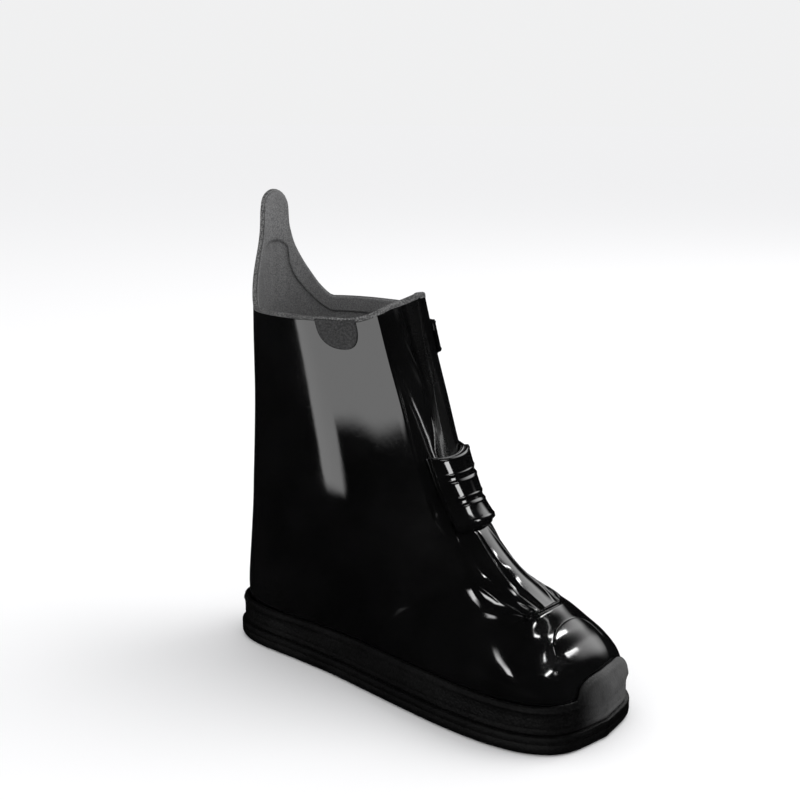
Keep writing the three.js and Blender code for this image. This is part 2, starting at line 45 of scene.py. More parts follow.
# The lofted form of the boot, in millimetres, with the heel at y = 0 and the toe towards -y.
# Each row: along, up, back along, back up, the width it follows, share of that width, belly,
# squareness in front and behind, drift to the side.
foot = {"length": 316, "ball": 118, "heel": 87, "shaft": 106, "top": 272, "instep": 140, "sole": 13}
soleTop = foot["sole"] + 0.35
rows = [
    (0.456, 2.0, 0.045, 2.0, "shaft", 1.0, 0.52, 2.6, 2.2, 0),
    (0.492, 1.727, 0.038, 1.727, "shaft", 0.99, 0.52, 2.6, 2.2, 0),
    (0.53, 1.485, 0.032, 1.42, "shaft", 0.965, 0.51, 2.55, 2.2, 0),
    (0.566, 1.265, 0.022, 1.136, "shaft", 0.93, 0.5, 2.45, 2.25, 0),
    (0.603, 1.083, 0.0125, 0.858, "shaft", 0.89, 0.48, 2.35, 2.35, 0),
    (0.642, 0.93, 0.005, 0.605, "heel", 1.03, 0.46, 2.25, 2.5, 0),
    (0.687, 0.82, 0.0, 0.384, "heel", 1.01, 0.44, 2.2, 2.8, 0),
    (0.725, 0.735, 0.001, 0.18, "heel", 1.0, 0.42, 2.15, 3.2, 0),
    (0.753, 0.68, 0.02, 0.035, "heel", 0.99, 0.4, 2.1, 3.8, 0),
    (0.778, 0.625, 0.13, 0.0, "heel", 1.0, 0.38, 2.1, 4.6, 0.01),
    (0.804, 0.575, 0.28, 0.0, "ball", 0.8, 0.37, 2.1, 5.0, 0.018),
    (0.832, 0.525, 0.43, 0.0, "ball", 0.89, 0.36, 2.1, 5.0, 0.012),
    (0.861, 0.475, 0.57, 0.0, "ball", 0.96, 0.36, 2.15, 5.0, 0.0),
    (0.889, 0.41, 0.69, 0.0, "ball", 1.0, 0.38, 2.2, 5.0, -0.012),
    (0.924, 0.345, 0.81, 0.0, "ball", 0.975, 0.4, 2.25, 5.0, -0.028),
    (0.962, 0.27, 0.908, 0.0, "ball", 0.85, 0.42, 2.3, 4.5, -0.042),
    (0.989, 0.18, 0.973, 0.01, "ball", 0.57, 0.46, 2.3, 3.5, -0.05),
    (1.0, 0.09, 1.0, 0.09, "ball", 0.0, 0.5, 2.3, 2.3, -0.05),
]
last = len(rows) - 1


def heightOf(up):
    if up <= 1:
        return soleTop + up * (foot["instep"] - soleTop)
    return foot["instep"] + (up - 1) * (foot["top"] - foot["instep"])


measured = np.array([
    (r[0] * foot["length"], heightOf(r[1]), r[2] * foot["length"], heightOf(r[3]), r[5] * foot[r[4]] / 2,
     r[6], r[7], r[8], r[9] * foot["ball"])
    for r in rows
])
extended = np.vstack([2 * measured[0] - measured[1], measured, 2 * measured[-1] - measured[-2]])


def smooth(low, high, value):
    t = np.clip((value - low) / (high - low), 0, 1)
    return t * t * (3 - 2 * t)


def bell(value, width):
    return np.exp(-(value / width) ** 2)


def blended(station):
    station = np.asarray(station, float)
    index = np.minimum(np.floor(station).astype(int), last - 1)
    t = (station - index)[..., None]
    before, start, end, after = (extended[index + k] for k in range(4))
    slope, endSlope = (end - before) / 2, (after - start) / 2
    return start + t * (slope + t * (3 * (end - start) - 2 * slope - endSlope
                                     + t * (2 * (start - end) + slope + endSlope)))


# Half outline of the pull tab as half width and rise over the low rim, rounded through its own table.
tabTable = np.array([
    (0, 82), (5.7, 80.8), (11.1, 76.3), (13.5, 68.9), (14.9, 54.1), (18.3, 41.8), (23.8, 30.3), (30.6, 18),
    (36, 8.2), (42, 0.0), (46, -0.4),
])


def roundedTab():
    ext = np.vstack([[-5.7, 80.8], tabTable, [50, -0.4]])
    t = np.linspace(0, 1, 30, endpoint=False)[:, None]
    out = []
    for k in range(len(tabTable) - 1):
        a, b, c, d = ext[k:k + 4]
        slope = (c - a) / 2
        out.append(b + t * (slope + t * (a - 2.5 * b + 2 * c - d / 2 + t * (1.5 * (b - c) + (d - a) / 2))))
    out = np.vstack(out)
    out[:, 0] = np.maximum.accumulate(out[:, 0] + np.arange(len(out)) * 1e-4)
    return out


tabCurve = roundedTab()
rimDip = 10
liftEnd = 2.4


def rimLift(turned, sideways):
    turn = np.abs(turned)
    tab = np.where(turn > math.pi / 2, np.interp(np.abs(sideways), tabCurve[:, 0], tabCurve[:, 1]), 0)
    tab = np.where(np.abs(sideways) > 46, 0, tab)
    corner = 5.5 * bell(turned - 0.5, 0.34) - 2.2 * bell(turned + 0.5, 0.3)
    return np.maximum(tab, 0) - rimDip * smooth(0.2, 0.95, turn) + corner


def form(angle, station):
    station = np.asarray(station, float)
    v = blended(station)
    along, up, backAlong, backUp, half, belly, squareFront, squareBack, drift = (v[..., k] for k in range(9))
    turned = np.arctan2(np.sin(angle), np.cos(angle))
    c, s = np.cos(turned), np.sin(turned)
    square = (squareFront * (1 + c) + squareBack * (1 - c)) / 2
    reach = (np.abs(c) ** square + np.abs(s) ** square) ** (-1 / square)
    t = belly + np.where(c > 0, 1 - belly, belly) * reach * c
    sideways = half * reach * s
    fade = 1 - np.minimum(station / liftEnd, 1)
    lift = rimLift(turned, sideways) * fade * fade
    back = -(backAlong + t * (along - backAlong))
    return np.stack([drift + sideways, back, backUp + t * (up - backUp) + lift], -1)


def unit(v):
    return v / np.maximum(np.linalg.norm(v, axis=-1, keepdims=True), 1e-9)


def normalOf(angle, station):
    at = np.clip(station, 0.03, last - 0.06)
    step = 0.012
    across = form(angle + step, at) - form(angle - step, at)
    down = form(angle, at + step) - form(angle, at - step)
    n = unit(-np.cross(across, down))
    tip = smooth(last - 0.3, last - 0.02, np.asarray(station, float))[..., None]
    return unit(n * (1 - tip) + np.array([0.0, -1.0, 0.0]) * tip)


def bisect(test, low, high, steps=26):
    low, high = np.array(low, float), np.array(high, float)
    for _ in range(steps):
        middle = (low + high) / 2
        inside = test(middle)
        low = np.where(inside, middle, low)
        high = np.where(inside, high, middle)
    return low


gussetHalf = 25
seamStation = 11.75
edgeCount = 120
edgeStations = np.linspace(0, last, edgeCount)
edgeAngles = bisect(
    lambda a: np.abs(form(a, edgeStations)[..., 0] - blended(edgeStations)[..., 8]) < gussetHalf,
    np.zeros(edgeCount), np.full(edgeCount, math.pi / 2))
seamAngle = np.interp(seamStation, edgeStations, edgeAngles)
edgeAngles = np.where(edgeStations > seamStation, seamAngle, edgeAngles)


def acrossGusset(angle, station):
    turned = np.arctan2(np.sin(angle), np.cos(angle))
    return turned / np.interp(station, edgeStations, edgeAngles)


def stationAt(angle, height):
    angle, height = np.broadcast_arrays(np.asarray(angle, float), np.asarray(height, float))
    low, high = np.zeros(angle.shape), np.full(angle.shape, 13.0)
    return bisect(lambda s: form(angle, s)[..., 2] > height, low, high)


folds = {"valley": 7.0, "hump": 2.6, "crease": 0.45, "seamLine": 0.7, "dent": 0.22, "flat": 0.75,
         "panelDrop": 0.9, "fanStep": 1.3, "fanRidge": 0.7, "fanHollow": 1.3, "bridge": 0.9, "backSeam": 0.55,
         "wrinkle": 0.28}

# Fold lines as station, angle: the crest of a fold and how far it slopes to its left and right.
pleats = [
    {"line": ((5.3, -0.17), (6.5, -0.209), (8.2, -0.253), (10.1, -0.288), (11.4, -0.2)),
     "rise": 1.7, "widths": (5.5, 0.8)},
    {"line": ((5.3, -0.1), (6.6, -0.14), (8.2, -0.15), (9.9, -0.148), (11.3, -0.07)),
     "rise": 1.1, "widths": (0.9, 6.0)},
    {"line": ((6.5, -0.46), (8.4, -0.463), (9.5, -0.436), (10.7, -0.314), (11.4, -0.24)),
     "rise": 1.2, "widths": (2.6, 0.8)},
    {"line": ((6.9, -0.55), (8.8, -0.567), (10.2, -0.524), (11.5, -0.36)),
     "rise": 1.2, "widths": (2.4, 0.8)},
    {"line": ((5.3, 0.21), (6.6, 0.27), (8.2, 0.33), (10.1, 0.36), (11.4, 0.26)),
     "rise": 1.3, "widths": (0.9, 5.0)},
    {"line": ((6.6, 0.47), (8.6, 0.52), (10.2, 0.5), (11.5, 0.34)),
     "rise": 1.2, "widths": (0.8, 2.6)},
]
fanEdge = np.array([(5.0, 0.39), (6.0, 0.471), (7.3, 0.567), (8.5, 0.62), (9.6, 0.663), (10.5, 0.646),
                    (11.0, 0.541), (11.6, 0.393)])
valleyLine = np.array([(0, 0.05), (0.8, 0.06), (1.7, 0.045), (2.3, -0.03), (3.2, -0.18), (5, -0.2)])
ridgeLine = np.array([(0, 0.23), (0.8, 0.2), (1.7, 0.12), (2.3, 0.09), (3.2, 0.05), (5, 0.0)])
valleyDepth = np.array([(0, 1.0), (0.8, 0.85), (1.6, 0.5), (2.3, 0.28), (3.2, 0.2), (4.2, 0.0)])


def softAbs(value, soft):
    return np.sqrt(value * value + soft * soft) - soft


# Height of the moulded folds, pleats, lines and dents over the plain form, in millimetres
def relief(angle, station):
    angle, station = np.broadcast_arrays(np.asarray(angle, float), np.asarray(station, float))
    turned = np.arctan2(np.sin(angle), np.cos(angle))
    side = acrossGusset(angle, station)
    edge = np.interp(station, edgeStations, edgeAngles)
    turn = np.abs(turned)
    point = form(angle, station)
    x, y, z = (point[..., k] for k in range(3))
    # the side panels of the leg are flatter than the plain form between the folded panel and the side
    level = smooth(-0.5, 0.2, station) * (1 - smooth(1.8, 6.5, station))
    far = form(np.sign(turned) * 1.45, station)
    near = form(np.sign(turned) * edge, station)
    chord = unit((far - near)[..., :2])
    offset = (point - near)[..., :2]
    bulge = np.abs(chord[..., 0] * offset[..., 1] - chord[..., 1] * offset[..., 0])
    within = smooth(0, 0.08, turn - edge) * smooth(0, 0.6, 1.45 - turn)
    out = -folds["flat"] * bulge * within * level
    # one deep valley with a broad left flank and a steep right one, then a soft hump
    bottom = np.interp(station, *valleyLine.T)
    crest = np.interp(station, *ridgeLine.T)
    left = np.clip((turned + edge) / (bottom + edge), 0, 1)
    right = np.clip((crest - turned) / (crest - bottom), 0, 1)
    valley = np.where(turned < bottom, left, right)
    deep = np.interp(station, *valleyDepth.T)
    out = out - folds["valley"] * deep * valley * (turn < edge)
    after = np.clip((turned - crest) / (edge - crest), 0, 1)
    out = out - folds["hump"] * deep * np.sin(np.pi * after) ** 2 * (turned > crest) * (turn < edge)
    # two fold lines that cross under the rim
    underRim = smooth(0.6, 1.0, station) * (1 - smooth(2.6, 3.1, station))
    for slope, start in ((0.24, -0.27), (-0.27, 0.62)):
        d = (turned - start - slope * station) * 46
        out = out + folds["crease"] * underRim * np.exp(-softAbs(d, 1.2) / 2.4) * smooth(0, 0.12, edge - turn)
    # the folded panel lies a little under the upper
    panel = smooth(0.2, 1.2, station) * (1 - smooth(4.6, 5.4, station))
    out = out - folds["panelDrop"] * panel * (1 - smooth(0.94, 1.0, np.abs(side)))
    # pleats that fan out below the bars
    fan = np.interp(station, *fanEdge.T)
    ends = smooth(4.6, 5.6, station) * (1 - smooth(seamStation - 0.35, seamStation - 0.02, station))
    radius = 44 + 1.2 * station
    for pleat in pleats:
        line = np.array(pleat["line"])
        d = (turned - np.interp(station, *line.T)) * radius
        soft = softAbs(d, 0.35)
        first = smooth(line[0][0] - 0.6, line[0][0] + 0.9, station)
        widths = np.where(d < 0, *pleat["widths"])
        out = out + pleat["rise"] * ends * first * np.exp(-soft / widths) * (1 - smooth(0, 0.06, turn - fan))
    step = (turn - fan) * radius
    out = out - folds["fanStep"] * ends * (1 - smooth(-2.2, 0.4, step))
    out = out + folds["fanRidge"] * ends * bell(step - 3.2, 4.5)
    for middle, width in ((-0.36, 4.5), (0.42, 5.0)):
        hollow = bell((turned - middle) * radius, width)
        out = out - folds["fanHollow"] * ends * smooth(6, 8, station) * hollow
    # the moulded line at the toe end of the folded panel
    seam = station - seamStation + 0.1
    across = 1 - smooth(0.5, 0.62, turn)
    out = out + folds["seamLine"] * (bell(seam, 0.06) - 0.8 * bell(seam - 0.13, 0.06)) * across
    bridge = smooth(seamStation, seamStation + 0.2, station) * (1 - smooth(13.4, 14.2, station))
    out = out + folds["bridge"] * bridge * (1 - smooth(0.25, 0.75, turn))
    # back seam
    out = out + folds["backSeam"] * bell(x, 1.7) * (turn > 2) * (1 - smooth(6.5, 8.0, station))
    # soft dents of a thin wall, calm on the toe
    dents = (np.sin(x * 0.055 + y * 0.031 + z * 0.043 + 0.7) + np.sin(y * 0.07 - z * 0.052 + 2.1)
             + 0.7 * np.sin(x * 0.09 - z * 0.081 + y * 0.04 + 4.0) + 0.45 * np.sin(z * 0.15 + y * 0.11 + 1.3))
    calm = 1 - 0.7 * smooth(9, 12, station)
    out = out + folds["dent"] * dents * calm * smooth(2.6, 5.5, station)
    # wrinkles round the ankle, where the foot bends
    bend = bell(station - 6.4 + 0.5 * np.cos(turn), 1.5) * smooth(0.8, 1.4, turn)
    bend = bend * (1 - smooth(2.0, 2.7, turn))
    waves = np.sin(station * 4.2 + 1.2 * np.sin(turn * 2.4))
    out = out + folds["wrinkle"] * bend * waves * (0.6 + 0.4 * np.sin(y * 0.05))
    return out * (1 - smooth(15.2, 16.4, station))


def onForm(angle, station, offset):
    return form(angle, station) + normalOf(angle, station) * np.asarray(offset)[..., None]


def moulded(angle, station):
    return onForm(angle, station, relief(angle, station))


gap, bandWall, overhang = 0.95, 2.8, 2.2
soleReach = gap + bandWall + overhang  # how far the sole's edge stands out past the form
tipHeight = measured[last][1]


# The stations where the heel and the toe reach a height
def footEnds(level):
    heelFrom, heelTo, toeFrom, toeTo = (np.full(level.shape, float(s)) for s in (3, 9, 8, last))
    heel = bisect(lambda s: blended(s)[..., 3] > level, heelFrom, heelTo)
    toe = bisect(lambda s: blended(s)[..., 1] > level, toeFrom, toeTo)
    return heel, toe


# The form's outline at a height, from the heel at share 0 to the toe at share 1 on either side
def outline(share, side, level, offset):
    values = (np.asarray(v, float) for v in (share, side, level, offset))
    share, side, level, offset = np.broadcast_arrays(*values)
    held = np.maximum(level, tipHeight)
    heel, toe = footEnds(held)
    toe = np.where(held > tipHeight, toe, last)
    station = heel + (toe - heel) * share
    front, back = np.zeros(held.shape), np.full(held.shape, math.pi)
    angle = bisect(lambda a: form(side * a, station)[..., 2] > held, front, back)
    angle = np.where(share <= 0, math.pi, np.where(share >= 1, 0.0, angle)) * side
    point = form(angle, station)
    n = normalOf(angle, station)
    flat = n.copy()
    flat[..., 2] = 0
    flat = unit(flat)
    ends = (share <= 0) | (share >= 1)
    flat[ends] = np.stack([0 * share, 1 - 2 * share, 0 * share], -1)[ends]
    lean = smooth(tipHeight, tipHeight + 6, level)[..., None]
    out = point + unit(flat * (1 - lean) + n * lean) * offset[..., None]
    out[..., 2] = np.where(level > tipHeight, out[..., 2], level)
    return out


def aroundFoot(count):
    turn = 2 * np.arange(count) / count
    share = np.where(turn <= 1, turn, 2 - turn)
    return 0.5 - 0.5 * np.cos(share * math.pi), np.where(turn <= 1, -1.0, 1.0)


# The form is moved so that its sole lies where the CAD's sole does
soleEdge = outline(*aroundFoot(360), 20.0, soleReach)
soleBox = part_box("outsole")
shift = np.array([
    soleBox[0][0] * 1000 - soleEdge[:, 0].min(), soleBox[0][1] * 1000 - soleEdge[:, 1].min(), 0.0])


def makeMesh(name, points, faces, materials, nodes, materialOf=None, uv=None):
    mesh = bpy.data.meshes.new(name)
    mesh.from_pydata(((points + shift) / 1000).tolist(), [], faces)
    mesh.validate()
    for material in materials:
        mesh.materials.append(material)
    mesh.polygons.foreach_set("use_smooth", [True] * len(mesh.polygons))
    if materialOf is not None:
        mesh.polygons.foreach_set("material_index", materialOf)
    if uv is not None:
        layer = mesh.uv_layers.new(name="flow")
        corner = np.zeros(len(mesh.loops), int)
        mesh.loops.foreach_get("vertex_index", corner)
        layer.data.foreach_set("uv", uv[corner].ravel())
    mesh.update()
    piece = bpy.data.objects.new(name, mesh)
    bpy.context.scene.collection.objects.link(piece)
    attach(piece, "root")
    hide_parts(*nodes)
    return piece


# Faces of a grid of points that are stored row by row, across first
def gridFaces(across, down, wrapAcross=False, wrapDown=False, start=0, flip=False):
    i = np.arange(across if wrapAcross else across - 1)
    j = np.arange(down if wrapDown else down - 1)
    i, j = (v.ravel() for v in np.meshgrid(i, j))
    i2, j2 = (i + 1) % across, (j + 1) % down
    quads = np.stack([j * across + i, j2 * across + i, j2 * across + i2, j * across + i2], 1) + start
    return quads[:, ::-1] if flip else quads


# Materials
def shaderTree(name):
    material = bpy.data.materials.new(name)
    material.use_nodes = True
    tree = material.node_tree
    shader = tree.nodes["Principled BSDF"]

    def add(kind, inputs=(), **settings):
        node = tree.nodes.new(kind)
        for key, value in settings.items():
            setattr(node, key, value)
        for key, value in dict(inputs).items():
            if isinstance(value, bpy.types.NodeSocket):
                tree.links.new(value, node.inputs[key])
            else:
                node.inputs[key].default_value = value
        return node

    return material, tree, shader, add


def ramp(add, source, low, high, outLow, outHigh):
    return add("ShaderNodeMapRange", {"Value": source, "From Min": low, "From Max": high, "To Min": outLow,
                                      "To Max": outHigh}).outputs["Result"]


def combine(add, operation, first, second, clamp=False):
    return add("ShaderNodeMath", {0: first, 1: second}, operation=operation, use_clamp=clamp).outputs[0]


gloss = {"color": (0.002, 0.002, 0.0021, 1), "roughLow": 0.06, "roughHigh": 0.12, "peel": 0.05, "scuff": 0.1,
         "foldDull": 0.2}


def glossRubber(name, roughLow=gloss["roughLow"], roughHigh=gloss["roughHigh"], folded=False):
    material, tree, shader, add = shaderTree(name)
    place = add("ShaderNodeTexCoord").outputs["Object"]
    peel = add("ShaderNodeTexNoise", {"Vector": place, "Scale": 260.0, "Detail": 2.0, "Roughness": 0.5})
    waves = add("ShaderNodeTexNoise", {"Vector": place, "Scale": 46.0, "Detail": 3.0, "Roughness": 0.55})
    cloud = add("ShaderNodeTexNoise", {"Vector": place, "Scale": 17.0, "Detail": 5.0, "Roughness": 0.62})
    specks = add("ShaderNodeTexNoise", {"Vector": place, "Scale": 900.0, "Detail": 1.0})
    scratchPlace = add("ShaderNodeMapping", {"Vector": place, "Scale": (70.0, 70.0, 900.0),
                                             "Rotation": (0.4, 0.7, 0.2)})
    scratches = add("ShaderNodeTexNoise", {"Vector": scratchPlace.outputs[0], "Scale": 1.0, "Detail": 2.0})
    worn = ramp(add, cloud.outputs["Fac"], 0.42, 0.72, roughLow, roughHigh)
    dusty = ramp(add, specks.outputs["Fac"], 0.66, 0.74, 0.0, 0.1)
    scored = ramp(add, scratches.outputs["Fac"], 0.68, 0.74, 0.0, gloss["scuff"])
    rough = combine(add, "ADD", combine(add, "ADD", worn, dusty), scored, clamp=True)
    if folded:
        share = add("ShaderNodeAttribute", attribute_name="folded").outputs["Fac"]
        dull = combine(add, "MULTIPLY", share, gloss["foldDull"])
        rough = combine(add, "ADD", rough, dull, clamp=True)
    tree.links.new(rough, shader.inputs["Roughness"])
    tone = add("ShaderNodeMixRGB", {"Fac": ramp(add, cloud.outputs["Fac"], 0.4, 0.75, 0.0, 1.0),
                                    "Color1": gloss["color"], "Color2": (0.004, 0.004, 0.0042, 1)})
    tree.links.new(tone.outputs[0], shader.inputs["Base Color"])
    peeled = ramp(add, peel.outputs["Fac"], 0, 1, 0, gloss["peel"])
    height = combine(add, "ADD", combine(add, "MULTIPLY", waves.outputs["Fac"], 0.5), peeled)
    bump = add("ShaderNodeBump", {"Height": height, "Strength": 0.16, "Distance": 0.0008})
    tree.links.new(bump.outputs["Normal"], shader.inputs["Normal"])
    shader.inputs["IOR"].default_value = 1.52
    shader.inputs["Specular IOR Level"].default_value = 0.55
    shader.inputs["Coat Weight"].default_value = 0.35
    shader.inputs["Coat Roughness"].default_value = 0.05
    return material


# The lighter grey at the end is painted light for the toe guard: it stands in for light falling on the right
# of its tip
grain = {"color": (0.002, 0.002, 0.0021, 1), "pale": (0.006, 0.006, 0.0062, 1), "rough": (0.36, 0.52),
         "worn": (0.1, 0.1, 0.1, 1)}


def grainedRubber(name, scale, strength, pale=grain["pale"], color=grain["color"], rough=grain["rough"],
                  worn=False):
    material, tree, shader, add = shaderTree(name)
    place = add("ShaderNodeTexCoord").outputs["Object"]
    pebble = add("ShaderNodeTexVoronoi", {"Vector": place, "Scale": scale}, feature="SMOOTH_F1")
    fine = add("ShaderNodeTexNoise", {"Vector": place, "Scale": scale * 2.2, "Detail": 3.0})
    cloud = add("ShaderNodeTexNoise", {"Vector": place, "Scale": 26.0, "Detail": 5.0, "Roughness": 0.6})
    pits = ramp(add, pebble.outputs["Distance"], 0.1, 0.7, 1.0, 0.0)
    shade = ramp(add, combine(add, "MULTIPLY", pits, cloud.outputs["Fac"]), 0.1, 0.6, 0.0, 1.0)
    tone = add("ShaderNodeMixRGB", {"Fac": shade, "Color1": color, "Color2": pale})
    roughness = ramp(add, cloud.outputs["Fac"], 0.35, 0.7, *rough)
    if worn:
        # painted light: where the mask is set, the colour is mixed towards a lighter grey that stands in for
        # light falling there, and the rubber is also made a little rougher
        share = add("ShaderNodeAttribute", attribute_name="worn").outputs["Fac"]
        patchy = ramp(add, cloud.outputs["Fac"], 0.3, 0.7, 0.35, 1.0)
        paintedLightMask = combine(add, "MULTIPLY", patchy, share, clamp=True)
        tone = add("ShaderNodeMixRGB", {"Fac": paintedLightMask, "Color1": tone.outputs[0], "Color2": grain["worn"]})
        roughness = combine(add, "ADD", roughness, ramp(add, share, 0, 1, 0, 0.16))
    tree.links.new(tone.outputs[0], shader.inputs["Base Color"])
    tree.links.new(roughness, shader.inputs["Roughness"])
    finer = ramp(add, fine.outputs["Fac"], 0, 1, 0, 0.35)
    height = combine(add, "ADD", combine(add, "MULTIPLY", pebble.outputs["Distance"], -1.0), finer)
    bump = add("ShaderNodeBump", {"Height": height, "Strength": strength, "Distance": 0.0007})
    tree.links.new(bump.outputs["Normal"], shader.inputs["Normal"])
    shader.inputs["Specular IOR Level"].default_value = 0.45
    return material


rubber = glossRubber("gloss_rubber", folded=True)
strapRubber = glossRubber("gloss_rubber_strap", 0.06, 0.15)
capRubber = glossRubber("gloss_rubber_toe", 0.06, 0.13)
soleRubber = grainedRubber("grained_rubber", 700.0, 0.4)
# The toe guard carries painted light: a lighter grey on the right of its tip
guardRubber = grainedRubber("grained_guard", 620.0, 0.5, worn=True)
patchRubber = grainedRubber("grained_patch", 820.0, 0.8, (0.055, 0.055, 0.056, 1), (0.018, 0.018, 0.0185, 1),
                            (0.5, 0.75))
lining = grainedRubber("matte_lining", 1100.0, 0.4, (0.21, 0.21, 0.211, 1), (0.11, 0.11, 0.111, 1),
                       (0.62, 0.85))
edgeRubber = grainedRubber("rim_edge", 900.0, 0.7, (0.22, 0.22, 0.22, 1), (0.05, 0.05, 0.05, 1), (0.5, 0.7))
print("materials made")

# The upper: one moulded wall whose front is folded, with its matte inner face
wall = {"thickness": 2.6, "front": 150, "rest": 126, "rows": 215, "innerRows": 90, "edgeRows": 4}


# Angles round the rim, close together across the folded front and even along the rest with its tab
def rimColumns(front, rest):
    foldedTo = 0.78
    fine = np.linspace(foldedTo, math.pi, 4001)
    edge = form(fine, np.zeros(len(fine)))
    step = np.diff(edge, axis=0) * np.array([1, 1, 0.8])
    length = np.concatenate([[0], np.cumsum(np.linalg.norm(step, axis=1))])
    half = np.interp(np.linspace(0, length[-1], rest // 2 + 1), length, fine)
    return np.concatenate([np.linspace(-foldedTo, foldedTo, front)[:-1], half, -half[-2:0:-1]])


def spacedRows(count, low, high, density):
    fine = np.linspace(low, high, 4001)
    total = np.concatenate([[0], np.cumsum((density(fine[1:]) + density(fine[:-1])) / 2)])
    return np.interp(np.linspace(0, total[-1], count), total, fine)


def pleatDensity(station):
    overPleats = 0.9 * smooth(4.5, 5.5, station) * (1 - smooth(12.2, 13, station))
    return 1 + overPleats + 3.5 * bell(station - 11.72, 0.32)


def makeUpper():
    angles = rimColumns(wall["front"], wall["rest"])
    across = len(angles)
    lead = [0, 0.02, 0.05, 0.085, 0.1, 0.115]
    stations = np.concatenate([lead, spacedRows(wall["rows"], 0.14, last, pleatDensity)])
    a, s = np.meshgrid(angles, stations)
    outer = moulded(a, s)
    n = normalOf(a, s)
    thick = wall["thickness"]
    innerStations = np.concatenate([[0, 0.05, 0.1], spacedRows(wall["innerRows"], 0.2, last, np.ones_like)])
    b, t = np.meshgrid(angles, innerStations)
    seam = 0.5 * bell(form(b, t)[..., 0], 1.5) * (np.abs(b) > 2) * (1 - smooth(6.5, 8.0, t))
    inner = moulded(b, t) - normalOf(b, t) * (thick - seam)[..., None]
    # a softly rounded cut edge at the rim
    up = np.array([0, 0, 1.0])
    lip = []
    for share in (0.16, 0.5, 0.84):
        lip.append(outer[0] * (1 - share) + inner[0] * share + up * 0.35 * math.sin(math.pi * share))
    lip = np.array(lip)
    outer[:4] += n[:4] * np.array([0.3, 0.45, 0.45, 0.3])[:, None, None]
    outer[0] -= up * 0.25
    inner[0] -= up * 0.25
    points = np.vstack([inner[::-1].reshape(-1, 3), lip[::-1].reshape(-1, 3), outer.reshape(-1, 3)])
    low = len(innerStations)
    total = low + len(lip) + len(stations)
    faces = gridFaces(across, total, wrapAcross=True)
    ring = np.arange(len(faces)) // across
    which = np.where(ring < low - 1, 1, np.where(ring < low + len(lip) + wall["edgeRows"], 2, 0))
    uv = np.stack([np.tile(np.arange(across) / across, total),
                   np.repeat(np.arange(total) / total, across)], 1)
    piece = makeMesh("upper", points, faces.tolist(), [rubber, lining, edgeRubber],
                     ["upper", "front_gusset"], which.tolist(), uv)
    # the steep flank of the valley is duller
    dull = np.zeros((total, across))
    flank = smooth(0, 0.05, a - np.interp(s, *valleyLine.T)) * (1 - smooth(0.3, 0.4, a))
    dull[low + len(lip):] = flank * (1 - smooth(3.2, 4.4, s))
    piece.data.attributes.new("folded", "FLOAT", "POINT").data.foreach_set("value", dull.ravel())
    return piece


upper = makeUpper()
print("upper made", len(upper.data.polygons))


# A tube of rings, each a closed section
def closedLoop(name, rings, wrap, material, nodes, caps=False):
    count, size = rings.shape[:2]
    faces = gridFaces(size, count, wrapAcross=True, wrapDown=wrap).tolist()
    if caps:
        faces.append(list(range(size)))
        faces.append([(count - 1) * size + k for k in range(size)][::-1])
    return makeMesh(name, rings.reshape(-1, 3), faces, [material], nodes)


# Section of a strap: across from -1 to 1 and height from 0 to 1, running over the top and back under it
def strapSection(topPoints, roundness):
    corner = np.linspace(0, math.pi / 2, 6)
    top = np.linspace(-1 + roundness, 1 - roundness, topPoints)
    left = np.stack([-1 + roundness - roundness * np.cos(corner), 0.5 + 0.5 * np.sin(corner)], 1)
    right = np.stack([1 - roundness + roundness * np.sin(corner), 0.5 + 0.5 * np.cos(corner)], 1)
    over = np.vstack([left[:-1], np.stack([top, np.ones(topPoints)], 1), right[1:]])
    under = np.stack([np.linspace(1, -1, 11), np.zeros(11)], 1)
    return np.vstack([over, under])


def strapStation(angle, height, across):
    middle = stationAt(angle, height)
    lean = np.sqrt(1 - np.minimum(normalOf(angle, middle)[..., 2] ** 2, 0.95))
    return stationAt(angle, height - across * lean)


instep = {"wall": 2.5, "slack": 0.55, "width": 52, "endWidth": 58, "height": 143, "from": -23, "to": 112,
          "barsTo": 32, "bars": 3, "barRise": 3.2, "barWidth": 13.8}


